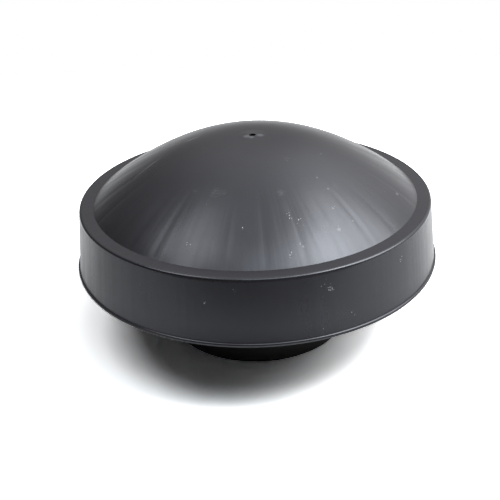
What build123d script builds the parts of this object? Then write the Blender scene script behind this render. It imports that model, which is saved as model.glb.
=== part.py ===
from build123d import *
import os
from math import atan, cos, degrees, hypot, pi, radians, sin, sqrt, tan

# Rain cap for a round vent pipe. Millimetres, +Z up, the front is -Y.
# The origin is the centre of the collar's mouth, where the pipe goes in.

# Pipe and collar
pipe_diameter = 110.0
pipe_clearance = 0.3
collar_wall = 3.0
mouth_chamfer = 1.0
pipe_insertion = 42.0
stop_width = 4.3
throat_height = 16.0

# Hood, as read from its outline
hood_diameter = 232.0
hood_wall = 2.6
skirt_overlap = 12.6
skirt_height = 40.2
skirt_flare = 3.9
bead_overhang = 1.3
bead_height = 2.4
bead_round = 1.1
rim_round = 1.6
ledge_width = 8.8
dome_height = 38.5
dome_foot_steepness = 2.22

# Dome outline between its foot and its crown: share of the radius, share of the height
dome_shares = [(0.25, 0.964), (0.5, 0.7855), (0.75, 0.4585)]

# Low swell in the middle of the dome with the gate mark sunk in it
swell_radius = 10.0
swell_height = 0.5
swell_drop = 0.75
gate_radius = 2.0
gate_depth = 1.6

# Vanes under the dome
vane_count = 30
vane_thickness = 2.0
vane_phase = 2.8
bond_gap = 0.1
ring_step = 6.0
ring_thickness = 3.0
ring_lip_width = 3.5
ring_lip_thickness = 1.2
vane_foot_gap = 1.0

# Flange of the neck and what stiffens it
flange_thickness = 2.5
flange_step = 6.0
gusset_thickness = 2.0
gusset_drop = 12.0
gusset_reach = 20.0

# Slits that let the clamp close the collar
slit_count = 3
slit_width = 3.0
slit_length = 32.0
first_slit_angle = -30.0

# Screws that hold the vane ring on the flange
screw_count = 6
screw_edge_distance = 10.0
screw_radius = 1.9
screw_length = 14.0
screw_head_radius = 3.75
screw_head_height = 2.4
recess_width = 0.9
recess_length = 4.5
recess_depth = 1.3
head_chamfer = 0.6
thread_gap = 0.05
screw_hole_clearance = 0.3
washer_outer_radius = 4.5
washer_thickness = 0.8
boss_wall = 1.9
boss_roof = 2.0

# Gasket at the pipe stop
gasket_thickness = 2.0
gasket_groove_depth = 0.7
gasket_gap = 0.05

# Bird screen
mesh_pitch = 6.35
mesh_wire = 0.8
screen_seat_width = 10.0
screen_side_gap = 0.4
screen_fold_width = 5.4
screen_grip = 3.4
screen_gap = 0.1

# Worm-drive clamp
band_width = 9.0
band_thickness = 0.7
band_height = 19.5
band_fit = 0.05
tail_gap = 0.3
tail_entry_angle = 20.0
tail_exit_angle = 38.0
tail_slot_width = 1.2
tail_slot_length = 5.4
tail_corner = 2.2
worm_radius = 4.0
worm_core_radius = 3.2
worm_pitch = 3.0
worm_thread_width = 1.1
worm_length = 9.6
worm_end_gap = 0.3
worm_gap = 0.35
worm_neck_radius = 2.2
worm_neck_clearance = 0.1
worm_room = 0.3
hex_across_flats = 7.0
hex_length = 6.5
driver_slot_width = 1.1
driver_slot_depth = 2.0
rivet_radius = 2.9
rivet_length = 0.8
housing_wall = 0.9
housing_end_wall = 1.3
housing_side_gap = 0.1
housing_foot_gap = 0.1
housing_round = 2.7

# Radii and heights of the collar and its flange
pipe_radius = pipe_diameter / 2
bore_radius = pipe_radius + pipe_clearance
collar_radius = bore_radius + collar_wall
stop_radius = bore_radius - stop_width
groove_radius = bore_radius + gasket_groove_depth
gasket_top = pipe_insertion + gasket_thickness
flange_underside = gasket_top + throat_height
neck_height = flange_underside + flange_thickness
ring_top = neck_height + ring_thickness

# Radii and heights of the hood
skirt_bottom = neck_height - skirt_overlap
bead_top = skirt_bottom + bead_height
ledge_top = skirt_bottom + skirt_height
ledge_underside = ledge_top - hood_wall
crown_top = ledge_top + dome_height
bead_radius = hood_diameter / 2
skirt_foot_radius = bead_radius - bead_overhang
skirt_top_radius = skirt_foot_radius - skirt_flare
crease_radius = skirt_top_radius - ledge_width
dome_foot_slope = atan(dome_foot_steepness * dome_height / crease_radius)
inner_crease_radius = crease_radius - hood_wall * tan(dome_foot_slope / 2)

# Radii of the vanes, the ring, the flange and the screen
vane_inner_radius = stop_radius + screen_seat_width
vane_outer_radius = inner_crease_radius - vane_foot_gap
ring_outer_radius = crease_radius - ring_step
flange_outer_radius = ring_outer_radius - flange_step
screw_circle_radius = flange_outer_radius - screw_edge_distance
screen_outer_radius = vane_inner_radius - screen_side_gap
screen_height = ring_thickness - ring_lip_thickness - screen_gap

# Clamp, outwards from the collar
band_inner_radius = collar_radius + band_fit
band_outer_radius = band_inner_radius + band_thickness
tail_inner_radius = band_outer_radius + tail_gap
tail_outer_radius = tail_inner_radius + band_thickness
hex_corner_radius = hex_across_flats / sqrt(3)
worm_offset = tail_outer_radius + worm_gap + max(worm_radius, hex_corner_radius)
housing_half_length = worm_length / 2 + worm_end_gap + housing_end_wall
housing_length = 2 * housing_half_length
housing_inner_half_width = max(band_width / 2 + housing_side_gap, worm_radius + worm_room)
housing_foot = collar_radius + housing_foot_gap
housing_top = worm_offset + worm_radius + worm_room + housing_wall

# Edges that lie within this of a radius or height are the ones meant by it
edge_tolerance = 0.01

# The first vane stands beside the front, and the first screw midway to the next vane
first_vane_angle = -90 + vane_phase
first_screw_angle = first_vane_angle + 180 / vane_count


def dome_line(foot_radius, foot_height):
    """Outline of the dome from its crown on the axis down to its foot."""
    shape = [(share * foot_radius, foot_height + rise * dome_height) for share, rise in dome_shares]
    crown = (0, foot_height + dome_height)
    foot = (foot_radius, foot_height)
    foot_direction = (cos(dome_foot_slope), -sin(dome_foot_slope))
    return Spline(crown, *shape, foot, tangents=[(1, 0), foot_direction])


# Swell: the top of a ball, as deep as the middle of the hood's wall
swell_ball_radius = (swell_radius**2 + swell_drop**2) / (2 * swell_drop)
with BuildPart() as crown_swell:
    with Locations((0, 0, crown_top + swell_height - swell_ball_radius)):
        Sphere(swell_ball_radius)
    with Locations((0, 0, crown_top - hood_wall / 2)):
        Cylinder(
            swell_radius,
            hood_wall,
            align=(Align.CENTER, Align.CENTER, Align.MIN),
            mode=Mode.INTERSECT,
        )

# Hood: dome, ledge, flared skirt and bead in one wall
with BuildPart() as hood_shell:
    with BuildSketch(Plane.XZ):
        with BuildLine():
            outside = dome_line(crease_radius, ledge_top)
            inside = dome_line(inner_crease_radius, ledge_underside)
            Polyline(
                outside @ 1,
                (skirt_top_radius, ledge_top),
                (skirt_foot_radius, bead_top),
                (bead_radius, bead_top),
                (bead_radius, skirt_bottom),
                (skirt_foot_radius - hood_wall, skirt_bottom),
                (skirt_top_radius - hood_wall, ledge_underside),
                inside @ 1,
            )
            Line(outside @ 0, inside @ 0)
        make_face()
    revolve(axis=Axis.Z)
    rim_edge = hood_shell.edges().filter_by(GeomType.CIRCLE).filter_by(
        lambda edge: abs(edge.radius - skirt_top_radius) < edge_tolerance
        and abs(edge.center().Z - ledge_top) < edge_tolerance
    )
    fillet(rim_edge, rim_round)
    bead_edges = hood_shell.edges().filter_by(GeomType.CIRCLE).filter_by(
        lambda edge: abs(edge.radius - bead_radius) < edge_tolerance
    )
    fillet(bead_edges, bead_round)
    # Swell on the crown with the gate mark sunk in it
    add(crown_swell.part)
    with Locations((0, 0, crown_top + swell_height)):
        Cylinder(gate_radius, 2 * gate_depth, mode=Mode.SUBTRACT)

# Space between the ring and the dome that the vanes fill, less the bond line
with BuildPart() as vane_envelope:
    with BuildSketch(Plane.XZ):
        with BuildLine():
            roof = dome_line(inner_crease_radius - bond_gap, ledge_underside - bond_gap)
            Polyline(
                roof @ 1,
                (vane_outer_radius, ledge_underside - bond_gap),
                (ring_outer_radius, ring_top),
                (0, ring_top),
                roof @ 0,
            )
        make_face()
    revolve(axis=Axis.Z)

# Vanes: upright radial plates that carry the dome
vane_length = inner_crease_radius - vane_inner_radius
with BuildPart() as vanes:
    with BuildSketch(Plane.XY.offset(ring_top)):
        with PolarLocations(vane_inner_radius + vane_length / 2, vane_count, start_angle=first_vane_angle):
            Rectangle(vane_length, vane_thickness)
    extrude(amount=crown_top - ring_top)
    add(vane_envelope.part, mode=Mode.INTERSECT)

# Ring under the vanes, with a lip over the bird screen and screw bosses between vanes
boss_height = screw_length - flange_thickness - washer_thickness + boss_roof
with BuildPart() as vane_base_ring:
    with BuildSketch(Plane.XY.offset(neck_height)):
        Circle(ring_outer_radius)
        Circle(vane_inner_radius, mode=Mode.SUBTRACT)
    extrude(amount=ring_thickness)
    with BuildSketch(Plane.XY.offset(ring_top - ring_lip_thickness)):
        Circle(vane_inner_radius + vane_thickness)
        Circle(vane_inner_radius - ring_lip_width, mode=Mode.SUBTRACT)
    extrude(amount=ring_lip_thickness)
    with BuildSketch(Plane.XY.offset(neck_height)):
        with PolarLocations(screw_circle_radius, screw_count, start_angle=first_screw_angle):
            Circle(screw_radius + thread_gap + boss_wall)
    extrude(amount=boss_height)
    with BuildSketch(Plane.XY.offset(neck_height)):
        with PolarLocations(screw_circle_radius, screw_count, start_angle=first_screw_angle):
            Circle(screw_radius + thread_gap)
    extrude(amount=boss_height - boss_roof + thread_gap, mode=Mode.SUBTRACT)

# Neck: socket for the pipe, pipe stop, gasket groove and flange
with BuildPart() as neck_collar:
    with BuildSketch(Plane.XZ):
        with BuildLine():
            Polyline(
                (bore_radius + mouth_chamfer, 0),
                (collar_radius, 0),
                (collar_radius, flange_underside),
                (flange_outer_radius, flange_underside),
                (flange_outer_radius, neck_height),
                (stop_radius, neck_height),
                (stop_radius, gasket_top),
                (groove_radius, gasket_top),
                (groove_radius, pipe_insertion),
                (bore_radius, pipe_insertion),
                (bore_radius, mouth_chamfer),
                close=True,
            )
        make_face()
    revolve(axis=Axis.Z)
    # Gussets between the tube and the flange, halfway between the screws
    for number in range(screw_count):
        gusset_angle = first_screw_angle + (number + 0.5) * 360 / screw_count
        radial = Vector(cos(radians(gusset_angle)), sin(radians(gusset_angle)), 0)
        side = Vector(-radial.Y, radial.X, 0)
        with BuildSketch(Plane(origin=(0, 0, 0), x_dir=radial, z_dir=side * -1)):
            with BuildLine():
                Polyline(
                    (collar_radius - collar_wall / 2, flange_underside),
                    (collar_radius + gusset_reach, flange_underside),
                    (collar_radius, flange_underside - gusset_drop),
                    (collar_radius - collar_wall / 2, flange_underside - gusset_drop),
                    close=True,
                )
            make_face()
        extrude(amount=gusset_thickness / 2, both=True)
    with BuildSketch(Plane.XY.offset(flange_underside)):
        with PolarLocations(screw_circle_radius, screw_count, start_angle=first_screw_angle):
            Circle(screw_radius + screw_hole_clearance)
    extrude(amount=flange_thickness, mode=Mode.SUBTRACT)
    # Slits from the mouth upwards, round at their ends
    for number in range(slit_count):
        slit_angle = first_slit_angle + number * 360 / slit_count
        outward = Vector(cos(radians(slit_angle)), sin(radians(slit_angle)), 0)
        across = Vector(-outward.Y, outward.X, 0)
        with BuildSketch(Plane(origin=(0, 0, 0), x_dir=across, z_dir=outward)):
            with Locations((0, (slit_length - slit_width / 2) / 2)):
                Rectangle(slit_width, slit_length - slit_width / 2)
            with Locations((0, slit_length - slit_width / 2)):
                Circle(slit_width / 2)
        extrude(amount=collar_radius + collar_wall, mode=Mode.SUBTRACT)

# Gasket that the pipe's end presses against
with BuildPart() as pipe_seat_gasket:
    with BuildSketch(Plane.XY.offset(pipe_insertion)):
        Circle(groove_radius - gasket_gap)
        Circle(stop_radius, mode=Mode.SUBTRACT)
    extrude(amount=gasket_thickness)

# Bird screen: mesh and the folded strip round its edge
mesh_radius = screen_outer_radius - screen_fold_width + screen_grip
mesh_underside = neck_height + screen_height / 2 - mesh_wire / 2
hole_side = mesh_pitch - mesh_wire
rows = 2 * int(mesh_radius / mesh_pitch) + 1
with BuildPart() as bird_screen_mesh:
    with BuildSketch(Plane.XY.offset(mesh_underside)):
        Circle(mesh_radius)
        grid = GridLocations(mesh_pitch, mesh_pitch, rows, rows).local_locations
        whole_holes = [
            place for place in grid
            if hypot(abs(place.position.X) + hole_side / 2, abs(place.position.Y) + hole_side / 2)
            < mesh_radius - mesh_wire / 2
        ]
        with Locations(*whole_holes):
            Rectangle(hole_side, hole_side, mode=Mode.SUBTRACT)
    extrude(amount=mesh_wire)

fold_inner_radius = screen_outer_radius - screen_fold_width
fold_web_radius = mesh_radius + screen_gap
fold_top = neck_height + screen_height
with BuildPart() as bird_screen_rim:
    with BuildSketch(Plane.XZ):
        with BuildLine():
            Polyline(
                (fold_inner_radius, neck_height),
                (screen_outer_radius, neck_height),
                (screen_outer_radius, fold_top),
                (fold_inner_radius, fold_top),
                (fold_inner_radius, mesh_underside + mesh_wire),
                (fold_web_radius, mesh_underside + mesh_wire),
                (fold_web_radius, mesh_underside),
                (fold_inner_radius, mesh_underside),
                close=True,
            )
        make_face()
    revolve(axis=Axis.Z)

# Screws from below, with a cross recess in each head, and their washers
screw_head_top = flange_underside - washer_thickness
screw_head_bottom = screw_head_top - screw_head_height
screw_places = PolarLocations(screw_circle_radius, screw_count, start_angle=first_screw_angle)
with BuildPart() as flange_screws:
    with BuildSketch(Plane.XY.offset(screw_head_bottom)):
        with screw_places:
            Circle(screw_head_radius)
    extrude(amount=screw_head_height)
    chamfer(flange_screws.faces().sort_by(Axis.Z)[:screw_count].edges(), head_chamfer)
    with BuildSketch(Plane.XY.offset(screw_head_top)):
        with screw_places:
            Circle(screw_radius)
    extrude(amount=screw_length)
    with BuildSketch(Plane.XY.offset(screw_head_bottom)):
        with screw_places:
            Rectangle(recess_length, recess_width)
            Rectangle(recess_width, recess_length)
    extrude(amount=recess_depth, mode=Mode.SUBTRACT)

with BuildPart() as flange_screw_washers:
    with BuildSketch(Plane.XY.offset(screw_head_top)):
        with screw_places:
            Circle(washer_outer_radius)
            Circle(screw_radius + screw_hole_clearance, mode=Mode.SUBTRACT)
    extrude(amount=washer_thickness)

# Clamp: the loop round the collar
with BuildPart() as clamp_band:
    with BuildSketch(Plane.XY.offset(band_height - band_width / 2)):
        Circle(band_outer_radius)
        Circle(band_inner_radius, mode=Mode.SUBTRACT)
    extrude(amount=band_width)

# Free end of the band, an arc through the housing with the slots that the worm works in
tail_middle_radius = (tail_inner_radius + tail_outer_radius) / 2
slot_step = degrees(worm_pitch / tail_middle_radius)
slot_total = int((tail_entry_angle + tail_exit_angle) / slot_step) - 1
with BuildPart() as clamp_band_tail:
    with BuildSketch(Plane.XY.offset(band_height - band_width / 2)):
        with BuildLine():
            outer_arc = CenterArc((0, 0), tail_outer_radius, -tail_exit_angle, tail_exit_angle + tail_entry_angle)
            inner_arc = CenterArc((0, 0), tail_inner_radius, -tail_exit_angle, tail_exit_angle + tail_entry_angle)
            Line(outer_arc @ 0, inner_arc @ 0)
            Line(outer_arc @ 1, inner_arc @ 1)
        make_face()
    extrude(amount=band_width)
    end_corners = clamp_band_tail.edges().filter_by(
        lambda edge: edge.length < 1.5 * band_thickness and edge.center().Y < 0
    )
    fillet(end_corners, tail_corner)
    with BuildSketch(Plane.XY.offset(band_height - tail_slot_length / 2)):
        with PolarLocations(tail_middle_radius, slot_total, start_angle=slot_step - tail_exit_angle,
                            angular_range=slot_total * slot_step):
            Rectangle(3 * band_thickness, tail_slot_width)
    extrude(amount=tail_slot_length, mode=Mode.SUBTRACT)

# Housing: bridge over the band with room for the worm, open below the band
side_plane = Plane(origin=(0, 0, band_height), x_dir=(1, 0, 0), z_dir=(0, -1, 0))
housing_half_width = housing_inner_half_width + housing_wall
with BuildPart() as clamp_housing:
    with BuildSketch(side_plane.offset(-housing_half_length)):
        with Locations(((housing_foot + housing_top) / 2, 0)):
            Rectangle(housing_top - housing_foot, 2 * housing_half_width)
    extrude(amount=housing_length)
    outer_edges = clamp_housing.edges().filter_by(Axis.Y).sort_by(Axis.X)[-2:]
    fillet(outer_edges, housing_round)
    # Passage for the two layers of band
    passage_top = tail_outer_radius + worm_gap
    with BuildSketch(side_plane.offset(-housing_half_length)):
        with Locations(((housing_foot + passage_top) / 2, 0)):
            Rectangle(passage_top - housing_foot, 2 * housing_inner_half_width)
    extrude(amount=housing_length, mode=Mode.SUBTRACT)
    # Room for the worm, and the holes that its necks turn in
    with BuildSketch(side_plane.offset(housing_end_wall - housing_half_length)):
        with Locations((worm_offset, 0)):
            Circle(worm_radius + worm_room)
        with Locations(((worm_offset + passage_top) / 2, 0)):
            Rectangle(worm_offset - passage_top, 2 * (worm_radius + worm_room))
    extrude(amount=housing_length - 2 * housing_end_wall, mode=Mode.SUBTRACT)
    with BuildSketch(side_plane.offset(-housing_half_length)):
        with Locations((worm_offset, 0)):
            Circle(worm_neck_radius + worm_neck_clearance)
    extrude(amount=housing_length, mode=Mode.SUBTRACT)

# Worm screw: threads, necks, hexagon head with a slot, and the riveted tip
worm_plane = Plane(origin=(worm_offset, 0, band_height), x_dir=(1, 0, 0), z_dir=(0, 1, 0))
thread_total = int((worm_length - worm_thread_width) / worm_pitch) + 1
thread_span = (thread_total - 1) * worm_pitch
head_start = housing_half_length + worm_end_gap
with BuildPart() as clamp_worm_screw:
    with BuildSketch(worm_plane.offset(-worm_length / 2)):
        Circle(worm_core_radius)
    extrude(amount=worm_length)
    for number in range(thread_total):
        thread_start = number * worm_pitch - thread_span / 2 - worm_thread_width / 2
        with BuildSketch(worm_plane.offset(thread_start)):
            Circle(worm_radius)
        extrude(amount=worm_thread_width)
    with BuildSketch(worm_plane.offset(-head_start)):
        Circle(worm_neck_radius)
    extrude(amount=2 * head_start)
    with BuildSketch(worm_plane.offset(head_start)):
        RegularPolygon(hex_across_flats / 2, 6, major_radius=False)
    extrude(amount=hex_length)
    with BuildSketch(worm_plane.offset(head_start + hex_length)):
        Rectangle(hex_across_flats * 2, driver_slot_width)
    extrude(amount=-driver_slot_depth, mode=Mode.SUBTRACT)
    with BuildSketch(worm_plane.offset(-head_start - rivet_length)):
        Circle(rivet_radius)
    extrude(amount=rivet_length)

# Labels and files
pieces = {
    "hood_shell": hood_shell,
    "vanes": vanes,
    "vane_base_ring": vane_base_ring,
    "neck_collar": neck_collar,
    "pipe_seat_gasket": pipe_seat_gasket,
    "bird_screen_mesh": bird_screen_mesh,
    "bird_screen_rim": bird_screen_rim,
    "flange_screws": flange_screws,
    "flange_screw_washers": flange_screw_washers,
    "clamp_band": clamp_band,
    "clamp_band_tail": clamp_band_tail,
    "clamp_housing": clamp_housing,
    "clamp_worm_screw": clamp_worm_screw,
}
os.makedirs("parts", exist_ok=True)
for name, piece in pieces.items():
    piece.part.label = name
    export_step(piece.part, f"parts/{name}.step")

print("worm turn to band turn", round(worm_pitch / (2 * pi * tail_middle_radius), 6))
print("worm axis at x", round(worm_offset, 3), "z", band_height)
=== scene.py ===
"""Looks of the vent rain cap: hood with sink marks, moulded plastics, stainless clamp and screen."""
import math

import bpy
import numpy as np
from mathutils import Matrix, Vector


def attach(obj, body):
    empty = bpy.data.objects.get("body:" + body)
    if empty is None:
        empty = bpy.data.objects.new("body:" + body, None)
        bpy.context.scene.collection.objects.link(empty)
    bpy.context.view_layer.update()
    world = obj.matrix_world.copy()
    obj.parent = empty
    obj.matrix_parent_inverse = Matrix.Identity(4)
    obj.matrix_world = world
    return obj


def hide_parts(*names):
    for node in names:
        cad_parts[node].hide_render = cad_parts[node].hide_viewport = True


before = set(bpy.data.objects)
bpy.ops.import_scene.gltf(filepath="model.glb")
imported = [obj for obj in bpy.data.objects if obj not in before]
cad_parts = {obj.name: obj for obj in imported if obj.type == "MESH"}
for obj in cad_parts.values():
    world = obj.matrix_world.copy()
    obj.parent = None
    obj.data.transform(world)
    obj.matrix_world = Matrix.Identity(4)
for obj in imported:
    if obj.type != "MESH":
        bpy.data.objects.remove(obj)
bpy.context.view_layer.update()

MM = 0.001

# Viewpoint, measured from the middle of the skirt's lower edge; angles in radians
VIEW_ELEVATION = 0.4867
VIEW_DISTANCE = 567.7 * MM
VIEW_YAW = 0.0076
VIEW_PITCH = 0.0021
VIEW_ROLL = -0.0365
FOCAL_PIXELS = 860
IMAGE_PIXELS = 500
SENSOR_MM = 36
CLIP_START = 0.01

# Hood outline in millimetres, the same sizes as its solid
HOOD_WALL = 2.6
SKIRT_BOTTOM = 49.9
SKIRT_FLARE = 3.9
LEDGE_TOP = 90.1
LEDGE_WIDTH = 8.8
DOME_HEIGHT = 38.5
BEAD_RADIUS = 116.0
BEAD_HEIGHT = 2.4
BEAD_OVERHANG = 1.3
BEAD_ROUND = 1.1
SKIRT_FOOT_RADIUS = BEAD_RADIUS - BEAD_OVERHANG
SKIRT_TOP_RADIUS = SKIRT_FOOT_RADIUS - SKIRT_FLARE
CREASE_RADIUS = SKIRT_TOP_RADIUS - LEDGE_WIDTH
RIM_ROUND = 1.6
DOME_SHAPE = [(0.0, 1.0), (0.25, 0.964), (0.5, 0.7855), (0.75, 0.4585), (1.0, 0.0)]
DOME_FOOT_STEEPNESS = 2.22

# Swell and gate mark on the crown, in millimetres
SWELL_RADIUS = 10.0
SWELL_HEIGHT = 0.38
SWELL_POWER = 1.5
GATE_RADIUS = 2.0
GATE_DEPTH = 1.6
GATE_FOOT_ROUND = 0.3
GATE_EDGE_ROUND = 0.25
GATE_EDGE_DROP = 0.32
GATE_LIP = 0.12
GATE_LIP_START = 0.5
GATE_LIP_WIDTH = 1.3

# Where the mesh's rings start and end beside a corner, in millimetres or as shares of the wall
DOME_START = 1.0
LEDGE_START = 0.15
LEDGE_END = 0.3
WALL_SHARES = (0.04, 0.99)
BEAD_SHELF = 0.05
FOOT_ROUND = 0.4
ROOF_SETBACK = 0.03
ROOF_CORNER = 0.3

# Rings in each stretch of the outline, and points round each ring
RINGS = {
    "gate": 4, "swell": 12, "dome": 60, "ledge": 4, "rim": 8, "wall": 5, "bead": 6, "foot": 3, "inside": 14,
}
AROUND = 720
CREASE_ANGLE = 28
ON_AXIS = 1e-9

# Sink marks that the vanes leave on the dome: degrees, millimetres and shares of the dome's radius.
# Their depth has an even part, one that varies from line to line and one that swings round the dome.
FRONT_ANGLE = -90
VANE_COUNT = 30
VANE_PHASE = 2.8
SINK_START = 0.52
SINK_FULL = 0.85
SINK_STOP = 0.01
SINK_DEPTH = 0.075
SINK_HALF_WIDTH = 2.0
SINK_EVEN = 1.2
SINK_THIRD = 0.6
SINK_CYCLE = 3
SINK_SWING = 0.5
SWING_PEAK = -69
SINK_WANDER = 1.4
WANDER_PEAK = -59
SLOW_WAVES = 3
PILLOW_HEIGHT = 0.03

# Ranges of values: all from 0 to 1, and those that a noise mostly stays within
WHOLE = (0.0, 1.0)
NOISE_WIDE = (0.3, 0.7)
NOISE_MIDDLE = (0.35, 0.65)

# Colour sockets of a mix node
MIX_FIRST = 6
MIX_SECOND = 7
MIX_RESULT = 2

# Hood plastic
HOOD_DARK = (0.0125, 0.0112, 0.0140)
HOOD_LIGHT = (0.017, 0.0155, 0.019)
HOOD_SHEEN = (0.88, 0.92, 1.0)
HOOD_ROUGHNESS = 0.30
HOOD_MIRROR = 0.54
GLOSS_SWING = (-0.03, 0.03)
MARK_DULLNESS = 0.25

# Flow streaks in it: how fine they are round and along the dome, and over which shares of its radius
# they grow
STREAKS_AROUND = 9.0
STREAKS_OUTWARD = 7.0
STREAK_GROWTH = (0.35, 0.8)

# Worn, glossier edges of the rim and the bead, in millimetres from the ledge, the skirt's top and its foot
EDGE_POLISH = 0.13
POLISH_UPPER = (-2.2, -1.4)
POLISH_OUTER = (-2.6, -1.8)
POLISH_BEAD = (0.0, 0.3)

# Gate mark's pit: near-black plastic that barely reflects, painted shade for the depth of the hole, and which
# faces have it
PIT_SHADE_DARK = (0.001, 0.001, 0.001)
PIT_SHADE_LIGHT = (0.006, 0.006, 0.006)
PIT_ROUGHNESS = (0.75, 0.95)
PIT_SHADE_MIRROR = 0.05
PIT_REACH = 0.1
PIT_HEIGHT_SHARE = 0.9

# Marks on the hood, each as degrees from the front towards +X, radius and reach in millimetres.
# The core is the share of the reach in which a mark has its full strength.
SCUFFS = [(-21, 60.5, 4.5), (-17, 60, 2.5), (14, 61, 3.0), (-33, 62, 2.0), (45, 66, 2.5)]
SCUFF_TONE = (0.10, 0.10, 0.105)
SCUFF_CORE = 0.4
SCUFF_STROKES = (500, 2600, 500)
SCUFF_COVER = (0.45, 0.6)
SCUFF_SHARE = 0.35
# Paler patches at the gate mark's left, right and near side, each given like the marks above
GATE_PALE_PATCHES = [(-60, 3.7, 3.0), (82, 4.8, 3.0), (-10, 3.9, 2.2)]
GATE_PATCH_CLEARANCE = 1.15
GATE_PATCH_SHARE = 0.85
SPECKS = [
    (71.2, 90.7, 1.3), (31.2, 89, 1.5), (34.5, 77.5, 0.9), (38.8, 87.4, 0.9), (39.7, 66.1, 0.9),
    (15.8, 92.9, 1.0), (39.6, 57.2, 0.8),
]
SPECK_CORE = 0.35
SPECK_SHARE = 0.2
DUST = [
    (-4.6, 80.5, 2.6), (15.7, 91, 4.5), (11.4, 96.3, 3.5), (31, 89, 2.5), (14.3, 75.6, 4.0),
    (18, 80.5, 4.5), (71, 90.7, 2.2), (67, 84, 2.5), (18.3, 111.5, 4.0), (20.5, 111.9, 4.0),
    (26.7, 113.9, 3.0), (17.6, 114.2, 2.0), (46.7, 111.8, 3.0), (64, 46, 3.0), (32, 37, 2.5),
    (-7, 111.5, 2.0), (-15, 112.3, 2.5), (-24, 92, 3.0), (-41, 104, 2.0), (-24, 69, 1.5),
    (61, 78, 1.5), (35, 76.5, 2.0), (38, 85.5, 2.0), (31, 88, 2.0), (130, 80, 4.0),
    (170, 112, 4.0), (-110, 112.5, 4.0), (-150, 70, 3.5),
]
DUST_TONE = (0.55, 0.55, 0.56)
DUST_CORE = 0.3
DUST_CELLS = 1000
DUST_SIZES = (0.15, 1.0)
DUST_GRAIN = 0.46
DUST_COVER = (0.3, 1.0)

# Scratches, each as the degrees and radius of its two ends; their cross section in millimetres
SCRATCHES = [(-99, 44, -108, 33.5), (-79, 77, -87, 55), (132, 66, 140, 78), (-158, 88, -163, 79)]
SCRATCH_TONE = (0.24, 0.24, 0.245)
SCRATCH_HALF_WIDTH = 0.7
SCRATCH_DEPTH = 2.0
SCRATCH_CORE = 0.4
SCRATCH_SHARE = 0.6

# The other materials; a grain is how much finer the pattern is along X, Y and Z
# The neck's near-black is darker than the hood's plastic: partly its own colour, partly painted shade for the
# shadow under the hood
NECK_DARK_WITH_SHADE = (0.003, 0.003, 0.003)
NECK_LIGHT_WITH_SHADE = (0.005, 0.005, 0.005)
NECK_ROUGHNESS = 0.5
NECK_SWING = (-0.03, 0.04)
HANDLING_GRAIN = (1, 1, 0.4)
STRIP_TINT = (0.62, 0.62, 0.6)
STRIP_ROUGHNESS = 0.3
STRIP_GRAIN = (1, 1, 12)
WIRE_TINT = (0.5, 0.5, 0.49)
WIRE_ROUGHNESS = 0.35
STEEL_TINT = (0.66, 0.66, 0.65)
STEEL_ROUGHNESS = 0.25
METAL_SWING = (-0.07, 0.1)
EVEN_GRAIN = (1, 1, 1)
STAIN_DARKNESS = 0.82
STAIN_SPREAD = (0.35, 0.7)
RUBBER_DARK = (0.012, 0.012, 0.013)
RUBBER_BLOOM = (0.03, 0.03, 0.03)
RUBBER_ROUGHNESS = (0.6, 0.8)
BLOOM_SPREAD = (0.4, 0.7)

# Lamps, all at one distance: degrees from the front towards +X, elevation, width, how bright their faces
# look, and their tint
WHITE = (1.0, 1.0, 1.0)
LAMP_WHITE = (0.98, 0.99, 1.0)
LAMP_COOL = (0.86, 0.94, 1.0)
LAMP_DISTANCE = 1.0
LAMPS = {
    "key_core": (61, 57, 0.42, 6.4, LAMP_WHITE),
    "key_halo": (87, 46, 0.66, 5.6, LAMP_WHITE),
    "left_lamp": (-78, 61, 0.45, 3.6, LAMP_WHITE),
    "front_lamp": (12, 62, 0.42, 2.15, LAMP_COOL),
}

# Backdrop as the hood mirrors it, each part as the stretch of a direction's coordinate over which it
# changes, and its brightness at the two ends; the fill is the share of it that lights matte surfaces
BACKDROP_UPWARDS = ((0.25, 1.0), (0.36, 1.5))
BACKDROP_HORIZON = ((-0.15, 0.2), (0.89, 0.0))
BACKDROP_LEFT = ((-0.8, 0.0), (0.32, 1.0))
BACKDROP_RIGHT = ((0.0, 0.8), (1.0, 3.1))
BACKDROP_FRONT = ((-0.6, 0.1), (0.22, 1.0))
BACKDROP_OVER_FRONT = ((0.4, 0.9), (0.0, 1.0))
FILL = ((0.65, 0.95), (0.01, 0.35))

# Floor in metres; its brightness in reflections changes towards the back
FLOOR_REACH = 0.6
FLOOR_FRONT = 0.28
FLOOR_TONE = 0.8
FLOOR_MIRRORED = ((0.0, 0.25), (1.05, 1.9))
FLOOR_LIFT = 3.0


def camera():
    """Camera at the photograph's viewpoint."""
    data = bpy.data.cameras.new("camera")
    data.sensor_width = SENSOR_MM
    data.sensor_fit = "HORIZONTAL"
    data.lens = FOCAL_PIXELS / IMAGE_PIXELS * SENSOR_MM
    data.clip_start = CLIP_START
    view = bpy.data.objects.new("camera", data)
    bpy.context.scene.collection.objects.link(view)
    offset = VIEW_DISTANCE * Vector((0, -math.cos(VIEW_ELEVATION), math.sin(VIEW_ELEVATION)))
    forward = -offset.normalized()
    right = forward.cross(Vector((0, 0, 1))).normalized()
    down = forward.cross(right)
    aim = Matrix((right, down, forward))
    turn = Matrix.Rotation(VIEW_ROLL, 3, "Z") @ Matrix.Rotation(VIEW_PITCH, 3, "X")
    aim = turn @ Matrix.Rotation(VIEW_YAW, 3, "Y") @ aim
    axes = Matrix((aim[0], -aim[1], -aim[2])).transposed()
    view.matrix_world = Matrix.Translation(offset + Vector((0, 0, SKIRT_BOTTOM * MM))) @ axes.to_4x4()
    bpy.context.scene.camera = view


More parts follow.
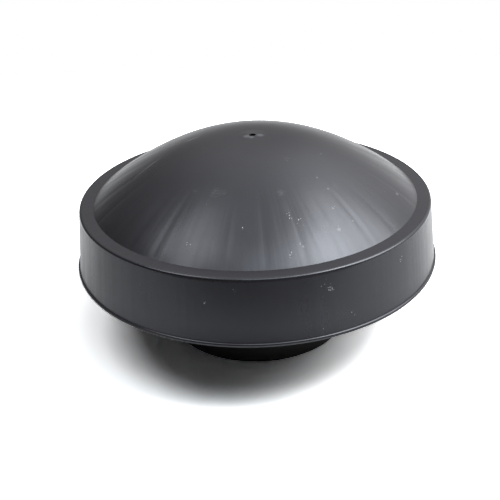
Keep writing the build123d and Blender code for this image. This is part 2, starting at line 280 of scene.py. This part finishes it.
def dome_heights(shares):
    """Height over the dome's foot at shares of its radius: a cubic spline with given end slopes."""
    knots = np.array([share for share, _ in DOME_SHAPE])
    values = np.array([rise for _, rise in DOME_SHAPE]) * DOME_HEIGHT
    count = len(knots)
    slopes = np.zeros(count)
    slopes[-1] = -DOME_FOOT_STEEPNESS * DOME_HEIGHT
    system = np.eye(count)
    right = slopes.copy()
    for i in range(1, count - 1):
        before = knots[i] - knots[i - 1]
        after = knots[i + 1] - knots[i]
        system[i, i - 1:i + 2] = (1 / before, 2 / before + 2 / after, 1 / after)
        right[i] = 3 * ((values[i] - values[i - 1]) / before**2 + (values[i + 1] - values[i]) / after**2)
    slopes = np.linalg.solve(system, right)
    shares = np.clip(np.asarray(shares, dtype=float), 0, 1)
    i = np.clip(np.searchsorted(knots, shares) - 1, 0, count - 2)
    span = knots[i + 1] - knots[i]
    t = (shares - knots[i]) / span
    return (
        values[i] * (1 + 2 * t) * (1 - t) ** 2 + slopes[i] * span * t * (1 - t) ** 2
        + values[i + 1] * t**2 * (3 - 2 * t) + slopes[i + 1] * span * t**2 * (t - 1)
    )


def arc(centre, radius, start, end, steps):
    """Points on an arc in the (radius, height) plane, angles in degrees."""
    angles = np.radians(np.linspace(start, end, steps + 1))
    return [(centre[0] + radius * math.cos(a), centre[1] + radius * math.sin(a)) for a in angles]


def crown_points():
    """Gate mark, swell and dome, from the axis outwards."""
    lip = LEDGE_TOP + DOME_HEIGHT + SWELL_HEIGHT + GATE_LIP
    pit = lip - GATE_DEPTH
    foot = (GATE_RADIUS - GATE_FOOT_ROUND, pit + GATE_FOOT_ROUND)
    edge = (GATE_RADIUS + GATE_EDGE_ROUND, lip - GATE_EDGE_DROP)
    points = [(0.0, pit)]
    points += arc(foot, GATE_FOOT_ROUND, -90, 0, RINGS["gate"])
    points += arc(edge, GATE_EDGE_ROUND, 180, 90, RINGS["gate"])
    swell_radii = np.linspace(GATE_RADIUS + GATE_LIP_START, SWELL_RADIUS, RINGS["swell"])
    dome_radii = np.linspace(SWELL_RADIUS + DOME_START, CREASE_RADIUS, RINGS["dome"])
    for radius in (*swell_radii, *dome_radii):
        swell = SWELL_HEIGHT * max(0.0, 1 - (radius / SWELL_RADIUS) ** 2) ** SWELL_POWER
        swell += GATE_LIP * math.exp(-((radius - GATE_RADIUS) / GATE_LIP_WIDTH) ** 2)
        points.append((radius, LEDGE_TOP + float(dome_heights(radius / CREASE_RADIUS)) + swell))
    return points


def skirt_points():
    """Ledge, rim, skirt and bead, from the crease down to the bead's underside."""
    lean = math.atan2(SKIRT_FOOT_RADIUS - SKIRT_TOP_RADIUS, LEDGE_TOP - SKIRT_BOTTOM - BEAD_HEIGHT)
    rim_back = RIM_ROUND * math.tan((math.pi / 2 - lean) / 2)
    rim_centre = (SKIRT_TOP_RADIUS - rim_back, LEDGE_TOP - RIM_ROUND)
    ledge_radii = np.linspace(CREASE_RADIUS + LEDGE_START, rim_centre[0] - LEDGE_END, RINGS["ledge"])
    points = [(radius, LEDGE_TOP) for radius in ledge_radii]
    points += arc(rim_centre, RIM_ROUND, 90, math.degrees(lean), RINGS["rim"])
    wall_top = points[-1]
    bead_top = SKIRT_BOTTOM + BEAD_HEIGHT
    for share in np.linspace(*WALL_SHARES, RINGS["wall"]):
        points.append((
            wall_top[0] + share * (SKIRT_FOOT_RADIUS - wall_top[0]),
            wall_top[1] + share * (bead_top - wall_top[1]),
        ))
    points.append((SKIRT_FOOT_RADIUS + BEAD_SHELF, bead_top))
    bead_middle = BEAD_RADIUS - BEAD_ROUND
    points += arc((bead_middle, bead_top - BEAD_ROUND), BEAD_ROUND, 90, 0, RINGS["bead"])
    points += arc((bead_middle, SKIRT_BOTTOM + BEAD_ROUND), BEAD_ROUND, 0, -90, RINGS["bead"])
    return points


def inside_points():
    """Skirt's inner foot, inner wall and the dome's underside, back to the axis."""
    inner_foot = SKIRT_FOOT_RADIUS - HOOD_WALL
    inner_top = SKIRT_TOP_RADIUS - HOOD_WALL
    under = LEDGE_TOP - HOOD_WALL
    points = arc((inner_foot + FOOT_ROUND, SKIRT_BOTTOM + FOOT_ROUND), FOOT_ROUND, -90, -180, RINGS["foot"])
    points += [(inner_top + ROOF_SETBACK, under - ROOF_CORNER), (inner_top - ROOF_CORNER, under)]
    dome_foot = math.atan(DOME_FOOT_STEEPNESS * DOME_HEIGHT / CREASE_RADIUS)
    inner_crease = CREASE_RADIUS - HOOD_WALL * math.tan(dome_foot / 2)
    for radius in np.linspace(inner_crease, 0, RINGS["inside"]):
        points.append((radius, under + float(dome_heights(radius / inner_crease))))
    return points


def smooth_step(value, low, high):
    """0 below low, 1 above high, and smooth between them."""
    t = np.clip((value - low) / (high - low), 0, 1)
    return t * t * (3 - 2 * t)


def sink(radius, height, angles):
    """How far the dome's outside drops at the vanes, and swells between them."""
    if not SINK_START * CREASE_RADIUS <= radius <= CREASE_RADIUS - SINK_STOP or height < LEDGE_TOP:
        return np.zeros_like(angles)
    pitch = 2 * math.pi / VANE_COUNT
    first = math.radians(FRONT_ANGLE + VANE_PHASE)
    number = np.floor((angles - first + pitch / 2) / pitch)
    line = first + number * pitch
    wander = math.radians(SINK_WANDER) * np.cos(SLOW_WAVES * (line - math.radians(WANDER_PEAK)))
    beside = angles - line - wander
    across = beside * radius
    grow = smooth_step(radius / CREASE_RADIUS, SINK_START, SINK_FULL)
    uneven = SINK_EVEN + SINK_THIRD * np.cos(2 * math.pi * number / SINK_CYCLE)
    uneven += SINK_SWING * np.cos(SLOW_WAVES * (line - math.radians(SWING_PEAK)))
    groove = SINK_DEPTH * uneven * np.exp(-(across / SINK_HALF_WIDTH) ** 2)
    pillow = PILLOW_HEIGHT * (1 - np.cos(2 * math.pi * beside / pitch)) / 2
    return grow * (groove - pillow)


def lathe(name, outline, drop):
    """A closed surface of revolution; drop gives how far a ring's points move down at each angle."""
    angles = np.arange(AROUND) * 2 * math.pi / AROUND
    cosines = np.cos(angles)
    sines = np.sin(angles)
    vertices = []
    rings = []
    for radius, height in outline:
        if radius < ON_AXIS:
            rings.append([len(vertices)])
            vertices.append((0.0, 0.0, height * MM))
            continue
        heights = height - drop(radius, height, angles)
        rings.append(range(len(vertices), len(vertices) + AROUND))
        vertices += [(radius * c * MM, radius * s * MM, z * MM) for c, s, z in zip(cosines, sines, heights)]
    faces = []
    for inner, outer in zip(rings, rings[1:]):
        for i in range(AROUND):
            j = (i + 1) % AROUND
            if len(inner) == 1:
                faces.append((inner[0], outer[i], outer[j]))
            elif len(outer) == 1:
                faces.append((inner[i], outer[0], inner[j]))
            else:
                faces.append((inner[i], outer[i], outer[j], inner[j]))
    mesh = bpy.data.meshes.new(name)
    mesh.from_pydata(vertices, [], faces)
    mesh.validate()
    mesh.polygons.foreach_set("use_smooth", [True] * len(mesh.polygons))
    mesh.set_sharp_from_angle(angle=math.radians(CREASE_ANGLE))
    piece = bpy.data.objects.new(name, mesh)
    bpy.context.scene.collection.objects.link(piece)
    return piece


class Nodes:
    """Short hand for building the node tree of a material or of the world."""

    def __init__(self, owner):
        owner.use_nodes = True
        self.owner = owner
        self.tree = owner.node_tree

    def feed(self, socket, value):
        """Link another node's output to a socket, or set the socket itself; None leaves it as it is."""
        if isinstance(value, bpy.types.NodeSocket):
            self.tree.links.new(value, socket)
        elif value is not None:
            socket.default_value = (*value, 1) if socket.type == "RGBA" else value

    def add(self, kind, inputs=None, **settings):
        """A new node with its settings, and its inputs by name or number."""
        node = self.tree.nodes.new(kind)
        for key, value in settings.items():
            setattr(node, key, value)
        for socket, value in (inputs or {}).items():
            self.feed(node.inputs[socket], value)
        return node

    def shade(self, inputs):
        """Set the shader's inputs and hand over the material."""
        shader = self.tree.nodes["Principled BSDF"]
        for socket, value in inputs.items():
            self.feed(shader.inputs[socket], value)
        return self.owner

    def place(self, kind="Object"):
        return self.add("ShaderNodeTexCoord").outputs[kind]

    def axes(self, where):
        """The coordinates of a place as three outputs."""
        return self.add("ShaderNodeSeparateXYZ", {0: where}).outputs

    def point(self, x=None, y=None, z=None):
        """A place made of its coordinates, 0 where none is given."""
        return self.add("ShaderNodeCombineXYZ", {0: x, 1: y, 2: z}).outputs[0]

    def stretch(self, where, factors):
        return self.add("ShaderNodeMapping", {"Vector": where, "Scale": factors}).outputs["Vector"]

    def noise(self, where, scale, detail=3.0, roughness=0.55):
        inputs = {"Vector": where, "Scale": scale, "Detail": detail, "Roughness": roughness}
        return self.add("ShaderNodeTexNoise", inputs).outputs["Fac"]

    def math(self, operation, first, second):
        return self.add("ShaderNodeMath", {0: first, 1: second}, operation=operation).outputs[0]

    def vector(self, operation, first, second=None):
        """A vector operation's outputs, Vector and Value."""
        return self.add("ShaderNodeVectorMath", {0: first, 1: second}, operation=operation).outputs

    def strongest(self, masks):
        """The largest of several values at each place."""
        result = masks[0]
        for mask in masks[1:]:
            result = self.math("MAXIMUM", result, mask)
        return result

    def spread(self, value, source, target=WHOLE, curve="LINEAR"):
        """A value moved from the source range to the target range, and held at its ends."""
        inputs = {"Value": value, "From Min": source[0], "From Max": source[1]}
        inputs.update({"To Min": target[0], "To Max": target[1]})
        return self.add("ShaderNodeMapRange", inputs, interpolation_type=curve).outputs["Result"]

    def blend(self, factor, first, second):
        """A mix of two colours."""
        inputs = {"Factor": factor, MIX_FIRST: first, MIX_SECOND: second}
        return self.add("ShaderNodeMix", inputs, data_type="RGBA").outputs[MIX_RESULT]

    def bump(self, height, distance, strength=1.0, below=None):
        """A rough surface's normal, distance metres deep, on top of the one below."""
        inputs = {"Height": height, "Distance": distance, "Strength": strength, "Normal": below}
        return self.add("ShaderNodeBump", inputs).outputs["Normal"]

    def rays(self):
        """Which rays arrive: those that see the surface straight or through glass, and mirrored ones."""
        path = self.add("ShaderNodeLightPath").outputs
        return self.math("MAXIMUM", path["Is Camera Ray"], path["Is Transmission Ray"]), path["Is Glossy Ray"]


def new_material(name):
    return Nodes(bpy.data.materials.new(name))


def about(middle, swing):
    """The range that reaches from the middle by the swing's two ends."""
    return tuple(middle + end for end in swing)


def moulded_plastic(name, dark, light, roughness):
    """Dark moulded plastic: faint mottling, handling marks and a fine skin."""
    nodes = new_material(name)
    where = nodes.place()
    mottle = nodes.noise(where, scale=22, detail=5)
    smear = nodes.noise(nodes.stretch(where, HANDLING_GRAIN), scale=60, detail=6, roughness=0.65)
    skin = nodes.noise(where, scale=900, detail=2)
    return nodes.shade({
        "Base Color": nodes.blend(nodes.spread(mottle, NOISE_MIDDLE), dark, light),
        "Roughness": nodes.spread(smear, NOISE_WIDE, about(roughness, NECK_SWING)),
        "Normal": nodes.bump(skin, distance=0.00001, strength=0.3),
    })


def on_hood(azimuth, radius):
    """Place on the hood's outside in metres: degrees from the front towards +X, and the radius there."""
    if radius > SKIRT_TOP_RADIUS:
        rise = (radius - SKIRT_TOP_RADIUS) / (SKIRT_FOOT_RADIUS - SKIRT_TOP_RADIUS)
        height = LEDGE_TOP - rise * (LEDGE_TOP - SKIRT_BOTTOM - BEAD_HEIGHT)
    else:
        height = LEDGE_TOP + float(dome_heights(radius / CREASE_RADIUS))
    turn = math.radians(azimuth)
    return (radius * math.sin(turn) * MM, -radius * math.cos(turn) * MM, height * MM)


def patches(nodes, where, spots, core):
    """1 in the core of each spot on the hood, fading to 0 at its reach."""
    masks = []
    for azimuth, radius, reach in spots:
        gap = nodes.vector("DISTANCE", where, on_hood(azimuth, radius))["Value"]
        masks.append(nodes.spread(gap, (core * reach * MM, reach * MM), (1, 0)))
    return nodes.strongest(masks)


def scratch(nodes, where, start, end):
    """1 along a thin line between two places on the hood, fading to 0 at its sides and ends."""
    along = Vector(end) - Vector(start)
    slot = nodes.add("ShaderNodeMapping", vector_type="TEXTURE", inputs={
        "Vector": where,
        "Location": (Vector(start) + Vector(end)) / 2,
        "Rotation": along.to_track_quat("X", "Z").to_euler(),
        "Scale": (along.length / 2, SCRATCH_HALF_WIDTH * MM, SCRATCH_DEPTH * MM),
    })
    return nodes.spread(nodes.vector("LENGTH", slot.outputs[0])["Value"], (SCRATCH_CORE, 1), (1, 0))


def around_axis(nodes, axes):
    """Coordinates in which a noise runs in streaks from the crown outwards, and the radius."""
    flat = nodes.point(axes[0], axes[1])
    radius = nodes.vector("LENGTH", flat)["Value"]
    unit = nodes.vector("NORMALIZE", flat)["Vector"]
    turned = nodes.add("ShaderNodeVectorMath", operation="SCALE", inputs={0: unit, "Scale": STREAKS_AROUND})
    outward = nodes.point(z=nodes.math("MULTIPLY", radius, STREAKS_OUTWARD))
    return nodes.vector("ADD", turned.outputs[0], outward)["Vector"], radius


def dust_grains(nodes, where):
    """How strongly grains of dust cover each place, in the patches that have them."""
    cells = nodes.add("ShaderNodeTexVoronoi", {"Vector": where, "Scale": DUST_CELLS}).outputs
    size, cover, _ = nodes.add("ShaderNodeSeparateColor", {0: cells["Color"]}).outputs
    reach = nodes.spread(size, DUST_SIZES, (0.0, DUST_GRAIN))
    reach = nodes.math("MULTIPLY", patches(nodes, where, DUST, DUST_CORE), reach)
    grains = nodes.math("LESS_THAN", cells["Distance"], reach)
    return nodes.math("MULTIPLY", grains, nodes.spread(cover, WHOLE, DUST_COVER))


def worn_edges(nodes, height, radius):
    """1 on the rim's rounding and on the bead."""
    upper, outer, on_bead = (
        nodes.spread(value, [end * MM for end in about(size, stretch)])
        for value, size, stretch in (
            (height, LEDGE_TOP, POLISH_UPPER),
            (radius, SKIRT_TOP_RADIUS, POLISH_OUTER),
            (radius, SKIRT_FOOT_RADIUS, POLISH_BEAD),
        )
    )
    return nodes.math("MAXIMUM", nodes.math("MULTIPLY", upper, outer), on_bead)


def hood_finish(name):
    """The hood's satin plastic with flow streaks, worn edges, dust, scuffs and fine scratches."""
    nodes = new_material(name)
    where = nodes.place()
    axes = nodes.axes(where)
    streak_place, radius = around_axis(nodes, axes)
    streaks = nodes.noise(streak_place, scale=2.0, detail=2, roughness=0.5)
    on_dome = nodes.spread(radius, [share * CREASE_RADIUS * MM for share in STREAK_GROWTH])

    fine = nodes.noise(nodes.stretch(where, SCUFF_STROKES), scale=1.0, detail=2)
    scuffs = patches(nodes, where, SCUFFS, SCUFF_CORE)
    scuffed = nodes.math("MULTIPLY", scuffs, nodes.spread(fine, SCUFF_COVER))
    lines = [scratch(nodes, where, on_hood(*ends[:2]), on_hood(*ends[2:])) for ends in SCRATCHES]
    # Paler patches beside the gate mark at its left, right and near side, fading in from the pit's edge
    pale_patches = patches(nodes, where, GATE_PALE_PATCHES, SCUFF_CORE)
    clear_of_gate = (GATE_RADIUS * MM, GATE_PATCH_CLEARANCE * GATE_RADIUS * MM)
    specks = patches(nodes, where, SPECKS, SPECK_CORE)
    dust = dust_grains(nodes, where)

    mottle = nodes.noise(where, scale=26, detail=6, roughness=0.6)
    colour = nodes.blend(nodes.spread(mottle, NOISE_MIDDLE), HOOD_DARK, HOOD_LIGHT)
    for mask, share, tone in (
        (scuffed, SCUFF_SHARE, SCUFF_TONE),
        (nodes.strongest(lines), SCRATCH_SHARE, SCRATCH_TONE),
        (pale_patches, nodes.spread(radius, clear_of_gate, (0, GATE_PATCH_SHARE)), SCUFF_TONE),
        (specks, SPECK_SHARE, DUST_TONE),
        (dust, 1.0, DUST_TONE),
    ):
        colour = nodes.blend(nodes.math("MULTIPLY", mask, share), colour, tone)

    smear = nodes.noise(where, scale=45, detail=5, roughness=0.65)
    gloss = nodes.spread(smear, NOISE_WIDE, about(HOOD_ROUGHNESS, GLOSS_SWING))
    streaked = nodes.spread(streaks, NOISE_WIDE, GLOSS_SWING)
    gloss = nodes.math("ADD", gloss, nodes.math("MULTIPLY", on_dome, streaked))
    marked = nodes.math("MAXIMUM", scuffed, dust)
    gloss = nodes.math("ADD", gloss, nodes.math("MULTIPLY", marked, MARK_DULLNESS))
    edges = worn_edges(nodes, axes[2], radius)
    gloss = nodes.math("SUBTRACT", gloss, nodes.math("MULTIPLY", edges, EDGE_POLISH))

    blotches = nodes.noise(where, scale=240, detail=3, roughness=0.6)
    skin = nodes.noise(where, scale=1300, detail=2)
    normal = nodes.bump(nodes.math("MULTIPLY", streaks, on_dome), distance=0.0001)
    normal = nodes.bump(blotches, distance=0.00002, below=normal)
    normal = nodes.bump(skin, distance=0.00001, strength=0.3, below=normal)
    return nodes.shade({
        "Base Color": colour,
        "Roughness": gloss,
        "Normal": normal,
        "Specular Tint": HOOD_SHEEN,
        "Specular IOR Level": HOOD_MIRROR,
    })


def pit_painted_shade(name):
    """Painted shade in the gate mark's pit: near-black plastic that barely reflects, with a fine torn grain.
    """
    nodes = new_material(name)
    torn = nodes.noise(nodes.place(), scale=900, detail=4)
    return nodes.shade({
        "Base Color": nodes.blend(torn, PIT_SHADE_DARK, PIT_SHADE_LIGHT),
        "Roughness": nodes.spread(torn, NOISE_WIDE, PIT_ROUGHNESS),
        "Normal": nodes.bump(torn, distance=0.0002),
        "Specular IOR Level": PIT_SHADE_MIRROR,
    })


def line_pit(piece, material):
    """Give the faces in the gate mark's pit a material of their own, the near-black painted shade."""
    piece.data.materials.append(material)
    widest = (GATE_RADIUS + PIT_REACH) * MM
    lowest = (LEDGE_TOP + PIT_HEIGHT_SHARE * DOME_HEIGHT) * MM
    for face in piece.data.polygons:
        if face.center.xy.length < widest and face.center.z > lowest:
            face.material_index = 1


def stainless(name, tint, roughness, grain):
    """Rolled stainless strip or wire; its lines run across the axis along which the grain is finest."""
    nodes = new_material(name)
    lines = nodes.noise(nodes.stretch(nodes.place(), grain), scale=900, detail=4, roughness=0.7)
    stain = nodes.noise(nodes.place(), scale=70, detail=4)
    darker = tuple(STAIN_DARKNESS * value for value in tint)
    return nodes.shade({
        "Base Color": nodes.blend(nodes.spread(stain, STAIN_SPREAD), tint, darker),
        "Roughness": nodes.spread(lines, NOISE_WIDE, about(roughness, METAL_SWING)),
        "Normal": nodes.bump(lines, distance=0.00002, strength=0.5),
        "Metallic": 1,
    })


def rubber(name):
    """Dull rubber with a paler bloom in patches."""
    nodes = new_material(name)
    where = nodes.place()
    bloom = nodes.noise(where, scale=120, detail=5)
    return nodes.shade({
        "Base Color": nodes.blend(nodes.spread(bloom, BLOOM_SPREAD), RUBBER_DARK, RUBBER_BLOOM),
        "Roughness": nodes.spread(bloom, NOISE_WIDE, RUBBER_ROUGHNESS),
        "Normal": nodes.bump(nodes.noise(where, scale=1500), distance=0.00003, strength=0.6),
    })


def dress(piece, material):
    """Give a piece this material alone."""
    piece.data.materials.clear()
    piece.data.materials.append(material)


def background():
    """White to the camera, a backdrop in reflections, dim to the left and in front, and a soft fill."""
    world = bpy.data.worlds.new("studio")
    bpy.context.scene.world = world
    nodes = Nodes(world)
    nodes.tree.nodes.clear()
    across, along, up = nodes.axes(nodes.place("Generated"))

    def part(value, change):
        return nodes.spread(value, *change, curve="SMOOTHSTEP")

    sides = nodes.math("MULTIPLY", part(across, BACKDROP_LEFT), part(across, BACKDROP_RIGHT))
    sideways = nodes.math("MULTIPLY", sides, part(up, BACKDROP_UPWARDS))
    front = nodes.math("MAXIMUM", part(along, BACKDROP_FRONT), part(up, BACKDROP_OVER_FRONT))
    mirrored = nodes.math("MULTIPLY", nodes.math("ADD", sideways, part(up, BACKDROP_HORIZON)), front)
    fill = nodes.math("MULTIPLY", mirrored, part(up, FILL))
    seen, reflected, filling = (
        nodes.add("ShaderNodeBackground", {"Color": colour, "Strength": strength}).outputs[0]
        for colour, strength in ((WHITE, 1), (LAMP_WHITE, mirrored), (LAMP_WHITE, fill))
    )
    straight, glossy = nodes.rays()
    indirect = nodes.add("ShaderNodeMixShader", {0: glossy, 1: filling, 2: reflected}).outputs[0]
    either = nodes.add("ShaderNodeMixShader", {0: straight, 1: indirect, 2: seen}).outputs[0]
    nodes.add("ShaderNodeOutputWorld", {"Surface": either})


def softbox(name, azimuth, elevation, size, brightness, colour):
    """Square lamp that faces the hood; brightness is how bright its face looks."""
    data = bpy.data.lights.new(name, "AREA")
    data.shape = "SQUARE"
    data.size = size
    data.energy = brightness * math.pi * size**2
    data.color = colour
    lamp = bpy.data.objects.new(name, data)
    bpy.context.scene.collection.objects.link(lamp)
    turn = math.radians(azimuth)
    rise = math.radians(elevation)
    direction = Vector((math.sin(turn) * math.cos(rise), -math.cos(turn) * math.cos(rise), math.sin(rise)))
    lamp.location = Vector((0, 0, LEDGE_TOP * MM)) + LAMP_DISTANCE * direction
    lamp.rotation_euler = direction.to_track_quat("Z", "Y").to_euler()


def floor():
    """Pale floor that ends just in front of the picture; whiter to the camera, and it keeps the shadow."""
    mesh = bpy.data.meshes.new("floor")
    corners = [(-FLOOR_REACH, -FLOOR_FRONT, 0), (FLOOR_REACH, -FLOOR_FRONT, 0)]
    corners += [(FLOOR_REACH, FLOOR_REACH, 0), (-FLOOR_REACH, FLOOR_REACH, 0)]
    mesh.from_pydata(corners, [], [(0, 1, 2, 3)])
    ground = bpy.data.objects.new("floor", mesh)
    bpy.context.scene.collection.objects.link(ground)
    nodes = new_material("floor_white")
    straight, glossy = nodes.rays()
    backward = nodes.spread(nodes.axes(nodes.place())[1], *FLOOR_MIRRORED)
    tone = nodes.blend(glossy, (FLOOR_TONE,) * 3, nodes.point(backward, backward, backward))
    matte = nodes.add("ShaderNodeBsdfDiffuse", {"Color": nodes.blend(straight, tone, (FLOOR_LIFT,) * 3)})
    nodes.tree.nodes.remove(nodes.tree.nodes["Principled BSDF"])
    nodes.feed(nodes.tree.nodes["Material Output"].inputs["Surface"], matte.outputs[0])
    mesh.materials.append(nodes.owner)


camera()
background()
floor()
for lamp_name, setting in LAMPS.items():
    softbox(lamp_name, *setting)

hood = lathe("hood_skin", crown_points() + skirt_points() + inside_points(), sink)
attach(hood, "cap")
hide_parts("hood_shell")

hood_plastic = hood_finish("hood_plastic")
strip = stainless("clamp_strip", STRIP_TINT, STRIP_ROUGHNESS, STRIP_GRAIN)
wire = stainless("screen_wire", WIRE_TINT, WIRE_ROUGHNESS, EVEN_GRAIN)
steel = stainless("screw_steel", STEEL_TINT, STEEL_ROUGHNESS, EVEN_GRAIN)
dress(hood, hood_plastic)
# The pit's near-black material is painted shade for the deep hole.
line_pit(hood, pit_painted_shade("gate_pit_painted_shade"))
finishes = {
    "vanes": hood_plastic,
    "vane_base_ring": hood_plastic,
    # Neck collar: its own black, deepened as painted shade for the shadow under the hood
    "neck_collar": moulded_plastic("neck_plastic", NECK_DARK_WITH_SHADE, NECK_LIGHT_WITH_SHADE, NECK_ROUGHNESS),
    "pipe_seat_gasket": rubber("gasket_rubber"),
    "bird_screen_mesh": wire,
    "bird_screen_rim": strip,
    "flange_screws": steel,
    "flange_screw_washers": steel,
    "clamp_band": strip,
    "clamp_band_tail": strip,
    "clamp_housing": strip,
    "clamp_worm_screw": steel,
}
for node, material in finishes.items():
    dress(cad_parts[node], material)

bpy.context.scene.view_settings.view_transform = "Standard"
